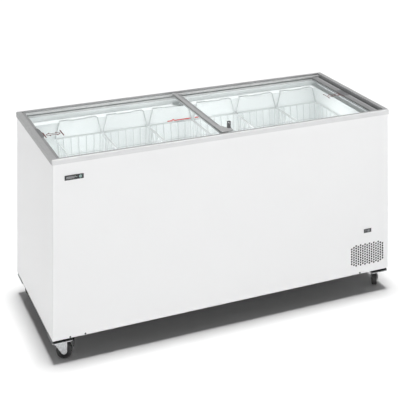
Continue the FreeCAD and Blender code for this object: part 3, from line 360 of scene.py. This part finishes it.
def ribbon(bm, points, width, low, high, closed, lift):
    """A closed strip of even width along flat points; lift(u, v, w) places it in space."""
    flat = [Vector(p) for p in points]
    count = len(flat)
    left, right = [], []
    for i, point in enumerate(flat):
        before = flat[i - 1] if closed or i > 0 else None
        after = flat[(i + 1) % count] if closed or i < count - 1 else None
        normals = []
        if before is not None:
            step = (point - before).normalized()
            normals.append(Vector((-step.y, step.x)))
        if after is not None:
            step = (after - point).normalized()
            normals.append(Vector((-step.y, step.x)))
        mitre = sum(normals, Vector((0.0, 0.0))).normalized()
        reach = width / 2 / max(0.35, mitre.dot(normals[0]))
        left.append(point + mitre * reach)
        right.append(point - mitre * reach)
    layers = []
    for side in (left, right):
        for w in (low, high):
            layers.append([bm.verts.new(lift(p.x, p.y, w)) for p in side])
    left_low, left_high, right_low, right_high = layers
    spans = range(count if closed else count - 1)
    for i in spans:
        j = (i + 1) % count
        bm.faces.new((left_high[i], left_high[j], right_high[j], right_high[i]))
        bm.faces.new((right_low[i], right_low[j], left_low[j], left_low[i]))
        bm.faces.new((left_low[i], left_low[j], left_high[j], left_high[i]))
        bm.faces.new((right_high[i], right_high[j], right_low[j], right_low[i]))
    if not closed:
        bm.faces.new((left_low[0], left_high[0], right_high[0], right_low[0]))
        bm.faces.new((right_low[-1], right_high[-1], left_high[-1], left_low[-1]))


def finish_mesh(name, bm):
    bmesh.ops.recalc_face_normals(bm, faces=bm.faces)
    mesh = bpy.data.meshes.new(name)
    bm.to_mesh(mesh)
    bm.free()
    return mesh


# ---- wire baskets -------------------------------------------------------------------
RIM_R = 2.5 * MM                 # rim wire
RING_R = 2.0 * MM                # rings below the rim
MESH_R = 1.5 * MM                # thin wires that cross between the rings
HANGER_R = 2.4 * MM
RIM_Z = 0.687                    # top of the rim
RIM_HALF_Y = 0.247               # outside of the rim
TAPER_X = 0.012                  # how far the base is inside the rim
TAPER_Y = 0.025
RING_BELOW_RIM = 0.075
RING_ABOVE_BASE = 0.062
RING_CORNER = 0.014
MESH_CORNER = 0.012
HANGER_CORNER = 0.006
CELLS_ALONG = 6                  # openings along the cabinet, across one basket
CELLS_DEEP = 13                  # openings from front to back
END_SHARE = 0.93                 # the outermost wires stay this far out, clear of the corners
HANGER_INSET = 0.019             # a hanger's bend, inside the rim's end
HANGER_STEP = 0.004
GRIP_OUTER = 0.045               # half length of the hanger's set-back grip
GRIP_INNER = 0.034
GRIP_SET_BACK = 0.012


def basket_wires(node):
    """Welded wire basket inside the CAD tray's outline."""
    low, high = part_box(node)
    middle = (low.x + high.x) / 2
    rim_z = RIM_Z - RIM_R
    base_z = low.z + RIM_R
    top_x = (high.x - low.x) / 2 - RIM_R
    top_y = RIM_HALF_Y - RIM_R
    base_x = top_x - TAPER_X
    base_y = top_y - TAPER_Y

    def ring(z):
        t = (z - base_z) / (rim_z - base_z)
        x = base_x + (top_x - base_x) * t
        y = base_y + (top_y - base_y) * t
        corners = [(middle - x, -y, z), (middle + x, -y, z), (middle + x, y, z), (middle - x, y, z)]
        return rounded_path(corners, RING_CORNER, closed=True)

    wires = [(ring(rim_z), RIM_R, True)]
    for z in (rim_z - RING_BELOW_RIM, base_z + RING_ABOVE_BASE, base_z):
        wires.append((ring(z), RING_R, True))

    inset = RIM_R + MESH_R * 0.6           # lays the thin wires against the inside of the rings
    for i in range(CELLS_ALONG + 1):
        share = max(-END_SHARE, min(END_SHARE, -1.0 + 2.0 * i / CELLS_ALONG))
        high_x = middle + top_x * share
        low_x = middle + base_x * share
        points = [(high_x, -top_y + inset, rim_z), (low_x, -base_y + inset, base_z),
                  (low_x, base_y - inset, base_z), (high_x, top_y - inset, rim_z)]
        wires.append((rounded_path(points, MESH_CORNER), MESH_R, False))
    cross_z = base_z + 2 * MESH_R          # these lie on the wires that run front to back
    for i in range(1, CELLS_DEEP):
        share = -1.0 + 2.0 * i / CELLS_DEEP
        points = [(middle - top_x + inset, top_y * share, rim_z),
                  (middle - base_x + inset, base_y * share, cross_z),
                  (middle + base_x - inset, base_y * share, cross_z),
                  (middle + top_x - inset, top_y * share, rim_z)]
        wires.append((rounded_path(points, MESH_CORNER), MESH_R, False))

    hook_z = high.z - RIM_R
    hanger_x = top_x - HANGER_INSET
    for side in (-1.0, 1.0):
        edge = side * (top_y + 0.5 * MM)
        back = side * (high.y - RIM_R)
        forward = side * (high.y - GRIP_SET_BACK)
        half = [(top_x, edge, rim_z), (hanger_x, edge, hook_z), (hanger_x - HANGER_STEP, back, hook_z),
                (GRIP_OUTER, back, hook_z), (GRIP_INNER, forward, hook_z)]
        points = [(middle - x, y, z) for x, y, z in half]
        points += [(middle + x, y, z) for x, y, z in reversed(half)]
        wires.append((rounded_path(points, HANGER_CORNER), HANGER_R, False))
    return tube_mesh(node + "_wires", wires)


def build_baskets(m):
    for name in sorted(n for n in NODES if n.startswith("basket_")):
        made = add_object(name + "_wires", basket_wires(name), m["wire"], name)
        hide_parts(name)


# ---- printed marks ------------------------------------------------------------------
FILM_LOW = 0.02 * MM             # ink on a sticker starts just off the surface it is on
FILM_HIGH = 0.15 * MM
RAISED_LOW = -0.1 * MM           # marks on the badge and display start just inside the plate
RAISED_HIGH = 0.12 * MM
ARROW_HALF = 31.0 * MM           # centre to tip
ARROW_NECK = 15.0 * MM           # centre to where a head begins
ARROW_SHAFT = 7.5 * MM
ARROW_HEAD = 17.0 * MM
ARROW_LINE = 4.0 * MM
STOP_X = 37.5 * MM               # bars at the arrow's two tips
STOP_HALF = 34.0 * MM
STOP_LINE = 4.8 * MM
LEFT_ARROW = (-0.693, -0.0185)
RIGHT_ARROW = (0.675, 0.0075)
LOAD_LINE_Z = 0.6915
LOAD_LINE_WALL_Y = 0.251         # face of the well's rear wall
LOAD_LINE_WIDTH = 4.8 * MM


def add_mark(name, bm, material, body):
    made = add_object(name, finish_mesh(name, bm), material, body)


def build_arrow(side, centre, m):
    """Outlined double-headed arrow between two stop lines, printed on a lid's glass."""
    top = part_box(side + "_lid_glass")[1].z
    upper = [(-ARROW_NECK, ARROW_HEAD), (-ARROW_NECK, ARROW_SHAFT), (ARROW_NECK, ARROW_SHAFT),
             (ARROW_NECK, ARROW_HEAD)]
    lower = [(-x, -y) for x, y in upper]
    outline = [(-ARROW_HALF, 0)] + upper + [(ARROW_HALF, 0)] + lower
    bm = bmesh.new()

    def lift(u, v, w):
        return (centre[0] + u, centre[1] + v, top + w)

    ribbon(bm, outline, ARROW_LINE, FILM_LOW, FILM_HIGH, True, lift)
    for x in (-STOP_X, STOP_X):
        ribbon(bm, [(x, -STOP_HALF), (x, STOP_HALF)], STOP_LINE, FILM_LOW, FILM_HIGH, False, lift)
    add_mark(side + "_lid_arrow", bm, m["arrow_ink"], side + "_lid")


def build_load_line(m):
    """Red fill limit printed on the rear wall of the well, with a small pointer."""
    bm = bmesh.new()

    def lift(u, v, w):
        return (u, LOAD_LINE_WALL_Y - w, LOAD_LINE_Z + v)

    pointer = [(-76, 0), (-54, 0), (-47, 5), (-40, 0), (44, 0)]
    dash = [(62, 0), (88, 0)]
    for line in (pointer, dash):
        points = [(u * MM, v * MM) for u, v in line]
        ribbon(bm, points, LOAD_LINE_WIDTH, FILM_LOW, 0.2 * MM, False, lift)
    add_mark("load_line", bm, m["line_ink"], "cabinet")


def build_badge_mark(m):
    """Three plain lines and a small snowflake on the black badge plate."""
    low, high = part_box("badge_plate")
    face = low.y
    middle_z = (low.z + high.z) / 2
    bm = bmesh.new()

    def lift(u, v, w):
        return (low.x + u, face - w, middle_z + v)

    line_start = 7 * MM
    line_width = 1.3 * MM
    for v, reach in ((3.2, 46.0), (0.0, 52.0), (-3.2, 40.0)):
        line = [(line_start, v * MM), (reach * MM, v * MM)]
        ribbon(bm, line, line_width, RAISED_LOW, RAISED_HIGH, False, lift)
    add_mark("badge_lines", bm, m["badge_ink"], "cabinet")

    bm = bmesh.new()
    start = Vector((65.0 * MM, 0.0))
    arm = 6.6 * MM
    for k in range(6):
        angle = math.radians(60 * k + 30)
        step = Vector((math.cos(angle), math.sin(angle)))
        side = Vector((-step.y, step.x))
        fork = start + step * arm * 0.55
        ribbon(bm, [start, start + step * arm], line_width, RAISED_LOW, RAISED_HIGH, False, lift)
        for way in (-1, 1):
            twig = start + step * arm * 0.85 + side * way * arm * 0.3
            ribbon(bm, [fork, twig], 1.0 * MM, RAISED_LOW, 0.13 * MM, False, lift)
    add_mark("badge_snowflake", bm, m["mark_ink"], "cabinet")


def build_display_digits(m):
    """Dim seven-segment temperature digits behind the display's bezel."""
    low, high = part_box("display_window")
    face = low.y
    middle = Vector(((low.x + high.x) / 2, 0.0, (low.z + high.z) / 2))
    wide = 5.0 * MM
    tall = 4.6 * MM
    segments = {
        "a": ((0, 2), (1, 2)),
        "b": ((1, 2), (1, 1)),
        "c": ((1, 1), (1, 0)),
        "d": ((0, 0), (1, 0)),
        "e": ((0, 0), (0, 1)),
        "f": ((0, 1), (0, 2)),
        "g": ((0, 1), (1, 1)),
    }
    digits = (("g", -11.0), ("bc", -4.5), ("abcdefg", 4.0))    # lit segments, millimetres along
    bm = bmesh.new()

    def lift(u, v, w):
        return (middle.x + u, face - w, middle.z + v)

    for lit, offset in digits:
        for key in lit:
            ends = [(offset * MM + x * wide, (y - 1) * tall) for x, y in segments[key]]
            ribbon(bm, ends, 0.9 * MM, RAISED_LOW, 0.1 * MM, False, lift)
    add_mark("display_digits", bm, m["badge_ink"], "cabinet")

    bm = bmesh.new()
    bezel = 1.6 * MM
    half_x = (high.x - low.x - bezel) / 2
    half_z = (high.z - low.z - bezel) / 2
    frame_line = [(-half_x, -half_z), (half_x, -half_z), (half_x, half_z), (-half_x, half_z)]
    ribbon(bm, frame_line, bezel, RAISED_LOW, 0.5 * MM, True, lift)
    add_mark("display_bezel", bm, m["black_plastic"], "cabinet")


# ---- stage --------------------------------------------------------------------------
def build_floor():
    mesh = bpy.data.meshes.new("floor")
    bm = bmesh.new()
    bmesh.ops.create_grid(bm, x_segments=2, y_segments=2, size=30.0)
    bm.to_mesh(mesh)
    bm.free()
    floor = bpy.data.objects.new("floor", mesh)
    bpy.context.scene.collection.objects.link(floor)
    s = Surface("pale_floor", (0.86, 0.86, 0.86), 0.6)
    s.shader.inputs["Specular IOR Level"].default_value = 0.1
    s.vary_roughness(s.noise(1.5, 2.0), 0.55, 0.65)
    mesh.materials.append(s.material)


def map_range(nodes, links, value, start, end, low, high):
    """A smooth step from low to high as the value goes from start to end."""
    made = nodes.new("ShaderNodeMapRange")
    made.interpolation_type = "SMOOTHSTEP"
    for socket, number in zip(("From Min", "From Max", "To Min", "To Max"), (start, end, low, high)):
        made.inputs[socket].default_value = number
    links.new(value, made.inputs["Value"])
    return made.outputs["Result"]


def build_world():
    """Dim overhead, pale behind the cabinet, with a bright strip along the horizon."""
    overhead = 0.15
    pale = 0.5                             # sky seen behind the cabinet in low views
    horizon = 4.35                         # lights the upright panels
    strip_top = 0.1                        # heights are sines of the angle above the horizon
    pale_top = 0.26
    overhead_from = 0.42
    strip_weakest = 0.1                    # share of the strip on the side away from bright_side
    strip_strongest = 1.9
    bright_side = (0.72, -0.69, 0.0)       # the front and the right end get the most light
    world = bpy.data.worlds.new("studio")
    world.use_nodes = True
    bpy.context.scene.world = world
    nodes = world.node_tree.nodes
    links = world.node_tree.links
    background = nodes["Background"]
    background.inputs["Color"].default_value = (1.0, 1.0, 1.0, 1.0)
    direction = nodes.new("ShaderNodeTexCoord").outputs["Generated"]
    axes = nodes.new("ShaderNodeSeparateXYZ")
    links.new(direction, axes.inputs["Vector"])
    toward = nodes.new("ShaderNodeVectorMath")
    toward.operation = "DOT_PRODUCT"
    toward.inputs[1].default_value = bright_side
    links.new(direction, toward.inputs[0])
    height = axes.outputs["Z"]
    sky = map_range(nodes, links, height, pale_top, overhead_from, pale, overhead)
    strip = map_range(nodes, links, height, 0.0, strip_top, horizon, 0.0)
    facing = map_range(nodes, links, toward.outputs["Value"], -1.0, 1.0, strip_weakest, strip_strongest)
    total = nodes.new("ShaderNodeMath")
    total.operation = "MULTIPLY_ADD"
    for socket, value in zip(total.inputs, (strip, facing, sky)):
        links.new(value, socket)
    links.new(total.outputs["Value"], background.inputs["Strength"])


def add_lamp(name, kind, energy):
    light = bpy.data.lights.new(name, kind)
    light.energy = energy
    lamp = bpy.data.objects.new(name, light)
    bpy.context.scene.collection.objects.link(lamp)
    return lamp


def build_light():
    """One lamp straight overhead, and four hidden ones inside the well that even out its walls."""
    overhead = add_lamp("overhead_key", "SUN", 3.3)
    overhead.data.angle = math.radians(14.0)
    for number, x in enumerate((-0.51, -0.17, 0.17, 0.51)):
        lamp = add_lamp("well_fill_%d" % number, "POINT", 1.15)
        lamp.data.shadow_soft_size = 0.08
        lamp.location = (x, 0.0, 0.66)
        lamp.visible_camera = False
        lamp.visible_glossy = False
    bpy.context.scene.view_settings.view_transform = "Standard"


def build_camera():
    """A view whose uprights stay parallel although it looks down.

    The camera's parent inverse is a sheared frame, whose upward axis stays vertical.
    """
    heading = 0.404318                     # radians to the right of +Y
    drop = 0.41467                         # how far the picture's middle lies below the horizon
    aside = -0.00727                       # and how far to the right of the heading
    focal = 2.5787                         # focal length over the picture's width, along the heading
    eye = Vector((-1.80298, -4.26215, 2.32555))
    forward = Vector((math.sin(heading), math.cos(heading), 0.0))
    right = Vector((math.cos(heading), -math.sin(heading), 0.0))
    up = Vector((0.0, 0.0, 1.0))
    axis = forward + right * aside - up * drop
    back = -axis.normalized()
    rig = bpy.data.objects.new("camera_rig", None)
    bpy.context.scene.collection.objects.link(rig)
    data = bpy.data.cameras.new("camera")
    data.sensor_width = 36.0
    data.lens = data.sensor_width * focal * axis.length
    data.clip_end = 100.0
    camera = bpy.data.objects.new("camera", data)
    bpy.context.scene.collection.objects.link(camera)
    camera.parent = rig
    camera.matrix_parent_inverse = Matrix((
        (right.x, up.x, back.x, eye.x),
        (right.y, up.y, back.y, eye.y),
        (right.z, up.z, back.z, eye.z),
        (0.0, 0.0, 0.0, 1.0),
    ))
    bpy.context.scene.camera = camera


materials = make_materials()
dress_cad_nodes(materials)
build_baskets(materials)
build_arrow("left", LEFT_ARROW, materials)
build_arrow("right", RIGHT_ARROW, materials)
build_load_line(materials)
build_badge_mark(materials)
build_display_digits(materials)
build_floor()
build_world()
build_light()
build_camera()
